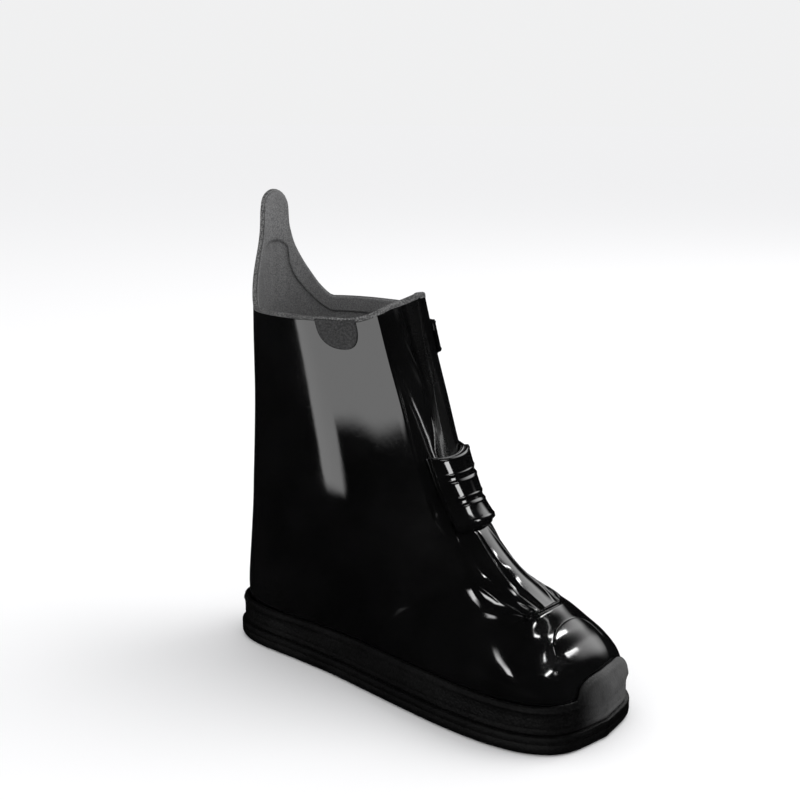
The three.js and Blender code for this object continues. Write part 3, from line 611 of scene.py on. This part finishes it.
def makeInstepStrap():
    section = strapSection(110, 0.05)
    start, end, barEnd = (math.radians(instep[k]) for k in ("from", "to", "barsTo"))
    barShare = (barEnd - start) / (end - start)
    share = np.unique(np.concatenate([
        np.linspace(0, 0.014, 12), np.linspace(0.014, barShare - 0.03, 50),
        np.linspace(barShare - 0.03, barShare + 0.01, 10),
        np.linspace(barShare + 0.01, 0.76, 30), 0.76 + 0.24 * np.sin(np.linspace(0, math.pi / 2, 40))]))
    angle = (start + (end - start) * share)[:, None] * np.ones(len(section))
    width = instep["width"] + (instep["endWidth"] - instep["width"]) * smooth(0.5, 0.78, share)
    tail = np.sqrt(np.clip(1 - np.clip((share - 0.78) / 0.2201, 0, 1) ** 2, 0, 1))
    head = np.sqrt(np.clip(1 - np.clip((0.006 - share) / 0.0061, 0, 1) ** 2, 0, 1)) * 0.03 + 0.97
    across = section[None, :, 0] * (width * tail * head / 2)[:, None]
    station = strapStation(angle, instep["height"], across)
    pitch = instep["width"] / instep["bars"]
    place = np.mod(across + instep["width"] / 2, pitch) - pitch / 2
    half = instep["barWidth"] / 2
    onBar = np.clip(half + 0.5 - np.abs(place), 0, 1)
    onBar = 0.8 + 0.2 * np.sqrt(1 - (1 - onBar) ** 2)
    outer = np.clip((instep["width"] / 2 - 0.2 - np.abs(across)) / 1.2, 0, 1)
    onBar = onBar * np.sqrt(1 - (1 - outer) ** 2)
    ends = smooth(0.003, 0.012, share) * (1 - smooth(barShare - 0.02, barShare - 0.006, share))
    raised = instep["barRise"] * onBar * ends[:, None] * (section[None, :, 1] > 0.99)
    groove = np.abs(np.abs(place) - pitch / 2)
    line = 0.4 * bell(groove - 3.0, 0.45) * ends[:, None] * (section[None, :, 1] > 0.99) * outer
    edge = smooth(0.0, 0.012, share)[:, None] * (0.35 + 0.65 * smooth(0, 0.02, 1 - share))[:, None]
    under = relief(angle, station)
    rest = np.where(np.abs(acrossGusset(angle, station)) < 1, np.maximum(under, 0), under)
    body = section[None, :, 1] * instep["wall"] * (0.55 + 0.45 * edge)
    height = instep["slack"] + rest * 0.6 + body + raised + line
    rings = onForm(angle, station, height)
    return closedLoop("instep_strap", rings, False, strapRubber, ["instep_strap"], caps=True)


topStrap = {"wall": 2.4, "slack": 0.55, "width": 23, "endWidth": 40, "drop": 29, "fall": 19,
            "from": 30, "to": 100}


def topStrapHeight(angle):
    start, end = math.radians(topStrap["from"]), math.radians(topStrap["to"])
    share = (angle - start) / (end - start)
    return foot["top"] - topStrap["drop"] - topStrap["fall"] * smooth(0, 1, share)


def makeTopStrap():
    section = strapSection(40, 0.07)
    start, end = math.radians(topStrap["from"]), math.radians(topStrap["to"])
    share = np.unique(np.concatenate([np.linspace(0, 0.02, 6), np.linspace(0.02, 0.68, 50),
                                      0.68 + 0.32 * np.sin(np.linspace(0, math.pi / 2, 34))]))
    angle = (start + (end - start) * share)[:, None] * np.ones(len(section))
    width = topStrap["width"] + (topStrap["endWidth"] - topStrap["width"]) * smooth(0.15, 0.65, share)
    tail = np.sqrt(np.clip(1 - np.clip((share - 0.68) / 0.3201, 0, 1) ** 2, 0, 1))
    across = section[None, :, 0] * (width * tail / 2)[:, None]
    station = strapStation(angle, topStrapHeight(angle), across)
    edge = smooth(0.0, 0.02, share)[:, None] * (0.35 + 0.65 * smooth(0, 0.03, 1 - share))[:, None]
    rim = 0.5 * bell(np.abs(section[None, :, 0]) - 0.84, 0.05) * (section[None, :, 1] > 0.99)
    body = section[None, :, 1] * topStrap["wall"] * (0.55 + 0.45 * edge)
    height = topStrap["slack"] + np.maximum(relief(angle, station), -1.0) * 0.5 + body + rim
    rings = onForm(angle, station, height)
    closedLoop("top_strap", rings, False, strapRubber, ["top_strap"], caps=True)


instepStrap = makeInstepStrap()
makeTopStrap()
print("straps made")

button = {"width": 14, "stem": 8, "reach": 2.0, "head": 3.6, "seat": 3.3}


# A long upright head with a rounded top on a short stem, turned to the wall that it stands on
def makeButton(name, angleDegrees, height, length, node):
    angle = np.array(math.radians(angleDegrees))
    station = stationAt(angle, height)
    out = normalOf(angle, station)
    down = unit(form(angle, station + 0.02) - form(angle, station - 0.02))
    cross = np.cross(down, out)
    seat = onForm(angle, station, np.array(button["seat"] + relief(angle, station) * 0.5))
    reach, head = button["reach"], button["head"]
    half, stem = button["width"] / 2, button["stem"] / 2
    turn = np.linspace(0, math.pi / 2, 9)
    profile = [(0.02, 0), (stem, 0), (stem, reach - 0.6), (stem + 0.7, reach)]
    profile += [(half - 1.2 + 1.2 * math.sin(t), reach + 1.2 - 1.2 * math.cos(t)) for t in turn]
    profile += [(half - 2.2 + 2.2 * math.cos(t), reach + head - 2.2 + 2.2 * math.sin(t)) for t in turn]
    profile += [(half * k, reach + head + 0.5 * (1 - (k / 0.7) ** 2)) for k in (0.6, 0.45, 0.3, 0.15, 0.002)]
    rings = []
    around = np.linspace(0, 2 * math.pi, 64, endpoint=False)
    for radius, rise in profile:
        stretch = max(length / 2 - half, 0) * min(radius / half, 1) ** 0.6
        c, s = np.cos(around), np.sin(around)
        x = radius * c
        z = radius * s + np.sign(s) * stretch * np.minimum(np.abs(s) * 3, 1)
        rings.append(seat + cross * x[:, None] + down * z[:, None] + out * rise)
    closedLoop(name, np.array(rings), False, strapRubber, [node], caps=True)


makeButton("instep_button", 96, instep["height"], 34, "instep_button")
topButtonAngle = 84
topButtonHeight = float(topStrapHeight(math.radians(topButtonAngle)))
makeButton("top_button", topButtonAngle, topButtonHeight, 24, "top_button")
print("buttons made")

foxing = {"thickness": bandWall, "seat": 0.6, "height": 19, "guard": 28, "guardFrom": (-17, -4),
          "guardTo": (0, 24)}


def foxingTop(share, side):
    point = outline(share, side, tipHeight, 0.0)
    onToe = smooth(0.85, 0.93, -point[..., 1] / foot["length"])
    across = point[..., 0]
    rise = onToe * smooth(*foxing["guardFrom"], across) * (1 - smooth(*foxing["guardTo"], across))
    return foxing["height"] + (foxing["guard"] - foxing["height"]) * rise


def makeFoxing():
    share, side = aroundFoot(520)
    top = foot["sole"] + foxingTop(share, side)
    base = foot["sole"] + 0.2
    rise = np.linspace(0, 1, 26) ** 0.9
    level = base + (top[:, None] - base) * rise
    thick = foxing["thickness"] * np.ones_like(level)
    bead = 0.7 * bell((top[:, None] - level) - 2.6, 1.1)
    line = -0.5 * bell(level - (foot["sole"] + 4.2), 0.55) * np.ones_like(thick)
    outside = outline(share[:, None], side[:, None], level, foxing["seat"] + thick + bead + line)
    capLevel = top[:, None] + np.array([0.5, 0.75, 0.6])
    capReach = foxing["seat"] + foxing["thickness"] * np.array([0.86, 0.5, 0.15])
    lip = outline(share[:, None], side[:, None], capLevel, capReach)
    inside = outline(share[:, None], side[:, None], level[:, ::-5], foxing["seat"])
    rings = np.concatenate([outside, lip, inside], 1)
    piece = closedLoop("foxing_toe_guard", rings[:, ::-1], True, guardRubber,
                       ["foxing_toe_guard"])
    # Painted light on the guard: its tip is mixed towards a lighter grey that grows towards the right side,
    # where the light falls
    tip = smooth(0.86, 0.97, -outline(share, side, tipHeight, 0.0)[..., 1] / foot["length"])
    right = smooth(-34, 4, rings[..., 0])
    layer = piece.data.attributes.new("worn", "FLOAT", "POINT")
    layer.data.foreach_set("value", (tip[:, None] * right)[:, ::-1].ravel())


makeFoxing()
print("foxing made")

sole = {"rim": 7.0, "tread": 4.5, "groove": 7, "pitch": 17, "archFrom": 0.3, "archTo": 0.42}


def makeOutsole():
    count = 420
    share, side = aroundFoot(count)
    profile = [(sole["tread"], sole["rim"]), (0.7, sole["rim"]), (0.1, 6.5), (0, 5.8), (0, 4.0), (0.15, 2.8),
               (0.8, 1.7), (2.2, 0.7), (3.6, 0.15), (5.0, 0.0), (7.2, 0.0), (7.7, 0.4), (8.2, 0.0),
               (11.8, 0.0), (12.6, 0.35), (13.0, 1.4)]
    rings = np.array([outline(share, side, tipHeight, soleReach - inset) * [1, 1, 0] + [0, 0, height]
                      for height, inset in profile])
    points = [rings.reshape(-1, 3)]
    faces = gridFaces(count, len(profile), wrapAcross=True, flip=True).tolist()
    faces.append(list(range(count))[::-1])
    faces.append([(len(profile) - 1) * count + k for k in range(count)])
    total = len(rings) * count
    grown = outline(share, side, tipHeight, soleReach - sole["rim"] + 0.4)[:, :2]
    limits = [-20.0]
    place = sole["pitch"]
    while place < foot["length"] - sole["pitch"]:
        if not sole["archFrom"] * foot["length"] < place < sole["archTo"] * foot["length"]:
            limits += [place - sole["groove"] / 2, place + sole["groove"] / 2]
        place += sole["pitch"]
    limits.append(foot["length"] + 20)
    for start, end in zip(limits[0::2], limits[1::2]):
        for ring, ringFaces in cleat(grown, start, end):
            faces += [[k + total for k in face] for face in ringFaces]
            points.append(ring)
            total += len(ring)
    makeMesh("outsole", np.vstack(points), faces, [soleRubber], ["outsole"])


# One cleat: the sole's outline between two lines across it, rounded at its lower edge
def cleat(shape, start, end):
    def clipped(poly, keep, at):
        out = []
        for k in range(len(poly)):
            a, b = poly[k - 1], poly[k]
            if keep(a) != keep(b):
                t = (at - a[1]) / (b[1] - a[1])
                out.append(a + (b - a) * t)
            if keep(b):
                out.append(b)
        return np.array(out)

    low = clipped(shape, lambda p: p[1] <= -start, -start)
    low = clipped(low, lambda p: p[1] >= -end, -end) if len(low) else low
    if len(low) < 3:
        return []
    gap = np.linalg.norm(np.diff(np.vstack([low, low[:1]]), axis=0), axis=1)
    low = low[gap > 0.3]
    edge = np.roll(low, -1, 0) - np.roll(low, 1, 0)
    inward = unit(np.stack([-edge[:, 1], edge[:, 0]], 1))
    area = np.sum(low[:, 0] * np.roll(low[:, 1], -1) - np.roll(low[:, 0], -1) * low[:, 1])
    inward = inward if area > 0 else -inward
    levels = [(0.0, 0.9), (0.1, 0.45), (0.5, 0.1), (1.2, 0.0), (5.2, 0.0)]
    rings = [np.column_stack([low + inward * inset, np.full(len(low), height)]) for height, inset in levels]
    n = len(low)
    faces = gridFaces(n, len(levels), wrapAcross=True, flip=area > 0).tolist()
    bottom, top = list(range(n)), [(len(levels) - 1) * n + k for k in range(n)]
    faces.append(bottom[::-1] if area > 0 else bottom)
    faces.append(top if area > 0 else top[::-1])
    return [(np.vstack(rings), faces)]


makeOutsole()
print("outsole made")

patch = {"width": 28, "depth": 26, "wall": 1.1, "seat": 0.3}
perStation = np.linalg.norm(blended(np.array(1.0))[:2] - blended(np.array(0.0))[:2])  # near the rim


# A U-shaped patch of grained rubber that hangs from the rim
def makePatch(name, middleDegrees, node):
    middle = math.radians(middleDegrees)
    centre = form(np.array(math.pi / 2), np.array(0.5))
    here = form(np.array(middle), np.array(0.5))
    reach = math.hypot(here[0], here[1] - centre[1])
    section = strapSection(44, 0.06)
    share = np.unique(np.concatenate([np.linspace(0, 0.03, 5), np.linspace(0.03, 0.7, 26),
                                      0.7 + 0.3 * np.sin(np.linspace(0, math.pi / 2, 26))]))
    kept = np.clip(1 - share ** 3, 0, 1) ** (1 / 2.2)
    angle = middle + section[None, :, 0] * (kept * patch["width"] / 2 / reach)[:, None]
    station = (0.05 + share * patch["depth"] / perStation)[:, None] * np.ones(len(section))
    edge = smooth(0, 0.02, share)[:, None] * (0.4 + 0.6 * smooth(0, 0.03, 1 - share))[:, None]
    border = 0.35 * smooth(0.86, 0.9, np.abs(section[None, :, 0])) * (section[None, :, 1] > 0.99)
    body = section[None, :, 1] * patch["wall"] * (0.4 + 0.6 * edge)
    rings = onForm(angle, station, patch["seat"] + relief(angle, station) + body + border)
    closedLoop(name, rings[:, ::-1], False, patchRubber, [node], caps=True)


makePatch("grip_patch_inner", -56.5, "grip_patch_inner")
makePatch("grip_patch_outer", 116, "grip_patch_outer")

facing = {"wall": 1.2, "depth": 16, "seat": 0.35}


# The band inside the rim, which also lines the pull tab and leaves out the folded panel
def makeFacing():
    angles = rimColumns(150, 190)
    angles = angles[np.abs(acrossGusset(angles, np.zeros(len(angles)))) > 1.08]
    angles = angles[np.argsort(np.mod(angles, 2 * math.pi))]
    depth = facing["depth"] / perStation
    profile = [(0.015, 0.0), (0.02, 0.7), (0.05, 1.0)]
    profile += [(0.05 + (depth - 0.07) * t, 1.0 if t < 1 else 0.9) for t in np.linspace(0.06, 1, 22)]
    profile += [(depth, 0.55), (depth, 0.0)]
    profile += [(depth * t, 0.0) for t in np.linspace(0.9, 0.08, 8)]
    s, h = np.array(profile).T
    rings = []
    for angle in angles:
        a = np.full(len(s), angle)
        rings.append(onForm(a, s, relief(a, s) - wall["thickness"] - facing["seat"] - facing["wall"] * h))
    closedLoop("rim_facing", np.array(rings), False, lining, ["rim_facing"], caps=True)


makeFacing()
print("patches and facing made")

cap = {"wall": 1.0, "seat": 0.12, "bead": 0.3, "start": 12.75, "middle": 0.12, "reach": 58}


def makeToeCap():
    across = 150
    down = 46
    spread = np.linspace(-1, 1, across)
    angle = spread * math.radians(cap["reach"])

    def above(station):
        level = form(angle, station)[..., 2]
        heel, toe = footEnds(level)
        share = np.clip((station - heel) / (toe - heel), 0, 1)
        return level > foot["sole"] + foxingTop(share, np.sign(angle + 1e-9)) + 1.2

    end = bisect(above, np.full(across, cap["start"]), np.full(across, float(last)), 20)
    off = np.abs(angle - cap["middle"])
    start = cap["start"] + 2.2 * off ** 2 + 14 * np.minimum(off, 0.5) ** 4
    t = np.linspace(0, 1, down)
    station = start + (end - start) * t[:, None]
    a = np.broadcast_to(angle, station.shape)
    rise = np.clip(np.minimum(t, 1 - t)[:, None] * 60, 0, 1) * np.clip((1 - np.abs(spread)) * 60, 0, 1)
    rise = np.sqrt(1 - (1 - rise) ** 2)
    bead = cap["bead"] * bell(t[:, None] * (end - start) - 0.06, 0.045)
    shown = 1 - smooth(0.36, 0.6, off)
    under = relief(a, station)
    raised = (cap["wall"] * rise + bead * rise) * (0.12 + 0.88 * shown)
    outer = onForm(a, station, under + cap["seat"] + raised)
    inner = onForm(a, station, under)
    points = np.vstack([outer.reshape(-1, 3), inner.reshape(-1, 3)])
    top = gridFaces(across, down)
    low = gridFaces(across, down, start=across * down, flip=True)
    n = across * down
    rim = list(range(across)) + [k * across + across - 1 for k in range(1, down)]
    rim += [(down - 1) * across + k for k in range(across - 2, -1, -1)]
    rim += [k * across for k in range(down - 2, 0, -1)]
    sides = [[this, following, following + n, this + n] for this, following in zip(rim, rim[1:] + rim[:1])]
    faces = top.tolist() + low.tolist() + sides
    return makeMesh("toe_cap", points, faces, [capRubber], ["toe_cap"])


toeCap = makeToeCap()
print("toe cap made")

# The floor, the light and the camera
squareCorners = ((-1, -1), (1, -1), (1, 1), (-1, 1))
floorSize = 60.0
floorMesh = bpy.data.meshes.new("floor")
floorMesh.from_pydata([(x * floorSize, y * floorSize, 0) for x, y in squareCorners], [], [(0, 1, 2, 3)])
floor = bpy.data.objects.new("floor", floorMesh)
bpy.context.scene.collection.objects.link(floor)
floorMaterial, floorTree, floorShader, _ = shaderTree("floor")
floorShader.inputs["Base Color"].default_value = (0.92, 0.92, 0.925, 1)
floorShader.inputs["Roughness"].default_value = 0.75
floorShader.inputs["Specular IOR Level"].default_value = 0.0
floorMesh.materials.append(floorMaterial)
floor.visible_glossy = False

world = bpy.data.worlds.new("studio")
world.use_nodes = True
bpy.context.scene.world = world
bpy.context.scene.view_settings.view_transform = "Standard"
worldTree = world.node_tree
background = worldTree.nodes["Background"]
path = worldTree.nodes.new("ShaderNodeLightPath")
mix = worldTree.nodes.new("ShaderNodeMixRGB")
mix.inputs["Color1"].default_value = (0.95, 0.95, 0.955, 1)
mix.inputs["Color2"].default_value = (0.004, 0.004, 0.004, 1)
worldTree.links.new(path.outputs["Is Glossy Ray"], mix.inputs["Fac"])
seen = worldTree.nodes.new("ShaderNodeMixRGB")
seen.inputs["Color2"].default_value = (0.872, 0.873, 0.877, 1)
worldTree.links.new(mix.outputs[0], seen.inputs["Color1"])
worldTree.links.new(path.outputs["Is Camera Ray"], seen.inputs["Fac"])
worldTree.links.new(seen.outputs[0], background.inputs["Color"])
background.inputs["Strength"].default_value = 1.0


# The one lamp lights the matte parts and the floor. Every shine comes from the cards.
key = {"place": (1.6, -1.2, 2.2), "target": (0, 0, 0.1), "size": 2.4, "power": 36}
keyLight = bpy.data.lights.new("key", "AREA")
keyLight.shape = "RECTANGLE"
keyLight.size = key["size"]
keyLight.size_y = key["size"]
keyLight.energy = key["power"]
lamp = bpy.data.objects.new("key", keyLight)
bpy.context.scene.collection.objects.link(lamp)
lamp.location = key["place"]
lamp.rotation_euler = (Vector(key["target"]) - Vector(key["place"])).to_track_quat("-Z", "Y").to_euler()
lamp.visible_camera = False
lamp.visible_glossy = False


def makeCard(name, mesh):
    card = bpy.data.objects.new(name, mesh)
    bpy.context.scene.collection.objects.link(card)
    card.visible_camera = False
    card.visible_diffuse = False
    card.visible_shadow = False
    return card


def direction(azimuth, elevation):
    a, e = math.radians(azimuth), math.radians(elevation)
    return Vector((math.cos(a) * math.cos(e), math.sin(a) * math.cos(e), math.sin(e)))


# A softly edged card that only shines show, between two directions from the boot and some degrees high
def softBox(name, start, end, height, radiance, soft, distance=2.4, on=()):
    middle = Vector((0, -0.03, 0.13))
    first, second = direction(*start), direction(*end)
    out = (first + second).normalized()
    across = (second - first).normalized()
    upward = out.cross(across) if out.cross(across).z > 0 else across.cross(out)
    half = distance * math.tan(first.angle(second) / 2)
    rise = distance * math.tan(math.radians(height / 2))
    corners = [middle + out * distance + across * half * i + upward * rise * j for i, j in squareCorners]
    mesh = bpy.data.meshes.new(name)
    mesh.from_pydata([tuple(c) for c in corners], [], [(0, 1, 2, 3)])
    mesh.uv_layers.new(name="card").data.foreach_set("uv", [0, 0, 1, 0, 1, 1, 0, 1])
    material, tree, shader, add = shaderTree(name)
    uv = add("ShaderNodeSeparateXYZ", {0: add("ShaderNodeTexCoord").outputs["UV"]})
    fades = []
    for axis, edge in zip("XY", soft):
        off = combine(add, "SUBTRACT", uv.outputs[axis], 0.5)
        off = add("ShaderNodeMath", {0: off}, operation="ABSOLUTE").outputs[0]
        limits = {"From Min": 0.5 - edge, "From Max": 0.5, "To Min": 1.0, "To Max": 0.0}
        fade = add("ShaderNodeMapRange", {"Value": off, **limits}, interpolation_type="SMOOTHSTEP")
        fades.append(fade.outputs["Result"])
    strength = combine(add, "MULTIPLY", combine(add, "MULTIPLY", *fades), radiance)
    shine = add("ShaderNodeEmission", {"Color": (1, 1, 1, 1), "Strength": strength})
    tree.links.new(shine.outputs[0], tree.nodes["Material Output"].inputs["Surface"])
    tree.nodes.remove(shader)
    mesh.materials.append(material)
    card = makeCard(name, mesh)
    if on:
        lit = bpy.data.collections.new(name + "_on")
        for piece in on:
            lit.objects.link(piece)
        card.light_linking.receiver_collection = lit


softBox("left_wall", (139, -15), (224, 13), 52, 2.3, (0.04, 0.25))
softBox("bars", (-67, 36), (-54, 36), 24, 8, (0.04, 0.04), 0.26, on=[instepStrap])
softBox("wedge", (-68, 30), (-50, 30), 11, 6, (0.2, 0.2), 0.3, on=[upper])
softBox("right_wall", (-28, 26), (30, 26), 34, 2.0, (0.3, 0.35))
softBox("toe_strip", (-60, 62), (-17, 34), 3.2, 20, (0.08, 0.3), on=[upper, toeCap])
softBox("top_left", (182, 36), (146, 64), 12, 9, (0.3, 0.35), on=[upper])

# A dark flag beside the boot, below which its inner side reflects nothing: its soft upper edge in millimetres
flag = {"place": -180, "soft": 9,
        "edge": [(-900, 440), (-340, 246), (-150, 174), (-104, 160), (-90, 122), (-66, 80), (60, 62),
                 (240, 56)]}


def makeFlag():
    edge = np.array(flag["edge"])
    y, z = np.meshgrid(np.arange(-900, 240, 5.0), np.arange(-160, 460, 5.0))
    points = np.stack([np.full(y.shape, float(flag["place"])), y, z], -1)
    mesh = bpy.data.meshes.new("flag")
    places = (points.reshape(-1, 3) + shift) / 1000
    mesh.from_pydata(places.tolist(), [], gridFaces(*y.shape[::-1]).tolist())
    cover = smooth(-flag["soft"], flag["soft"], np.interp(y, *edge.T) - z)
    mesh.attributes.new("cover", "FLOAT", "POINT").data.foreach_set("value", cover.ravel())
    material, tree, shader, add = shaderTree("flag")
    clear = add("ShaderNodeBsdfTransparent")
    share = add("ShaderNodeAttribute", attribute_name="cover").outputs["Fac"]
    dark = add("ShaderNodeEmission", {"Color": (0, 0, 0, 1)})
    both = add("ShaderNodeMixShader", {"Fac": share, 1: clear.outputs[0], 2: dark.outputs[0]})
    tree.links.new(both.outputs[0], tree.nodes["Material Output"].inputs["Surface"])
    tree.nodes.remove(shader)
    mesh.materials.append(material)
    card = makeCard("flag", mesh)


makeFlag()

# Angles in degrees, lengths in millimetres, and the focal length in pixels of a picture 800 wide
camera = {"azimuth": -50, "elevation": 11.98, "distance": 1034.41, "right": 106.57, "up": 180.8,
          "focal": 1325.47, "picture": 800, "sensor": 36}
azimuth, elevation = math.radians(camera["azimuth"]), math.radians(camera["elevation"])
toCamera = Vector((math.sin(azimuth) * math.cos(elevation), -math.cos(azimuth) * math.cos(elevation),
                   math.sin(elevation)))
toRight = Vector((math.cos(azimuth), math.sin(azimuth), 0))
toUp = toCamera.cross(toRight)
aim = Vector(shift) + toRight * camera["right"] + Vector((0, 0, camera["up"]))
lens = bpy.data.cameras.new("camera")
lens.sensor_width = camera["sensor"]
lens.lens = camera["focal"] / camera["picture"] * camera["sensor"]
lens.clip_start = 0.01
view = bpy.data.objects.new("camera", lens)
bpy.context.scene.collection.objects.link(view)
turnedTo = Matrix((toRight, toUp, toCamera)).transposed().to_4x4()
view.matrix_world = Matrix.Translation((aim + toCamera * camera["distance"]) / 1000) @ turnedTo
bpy.context.scene.camera = view

print("stage made")
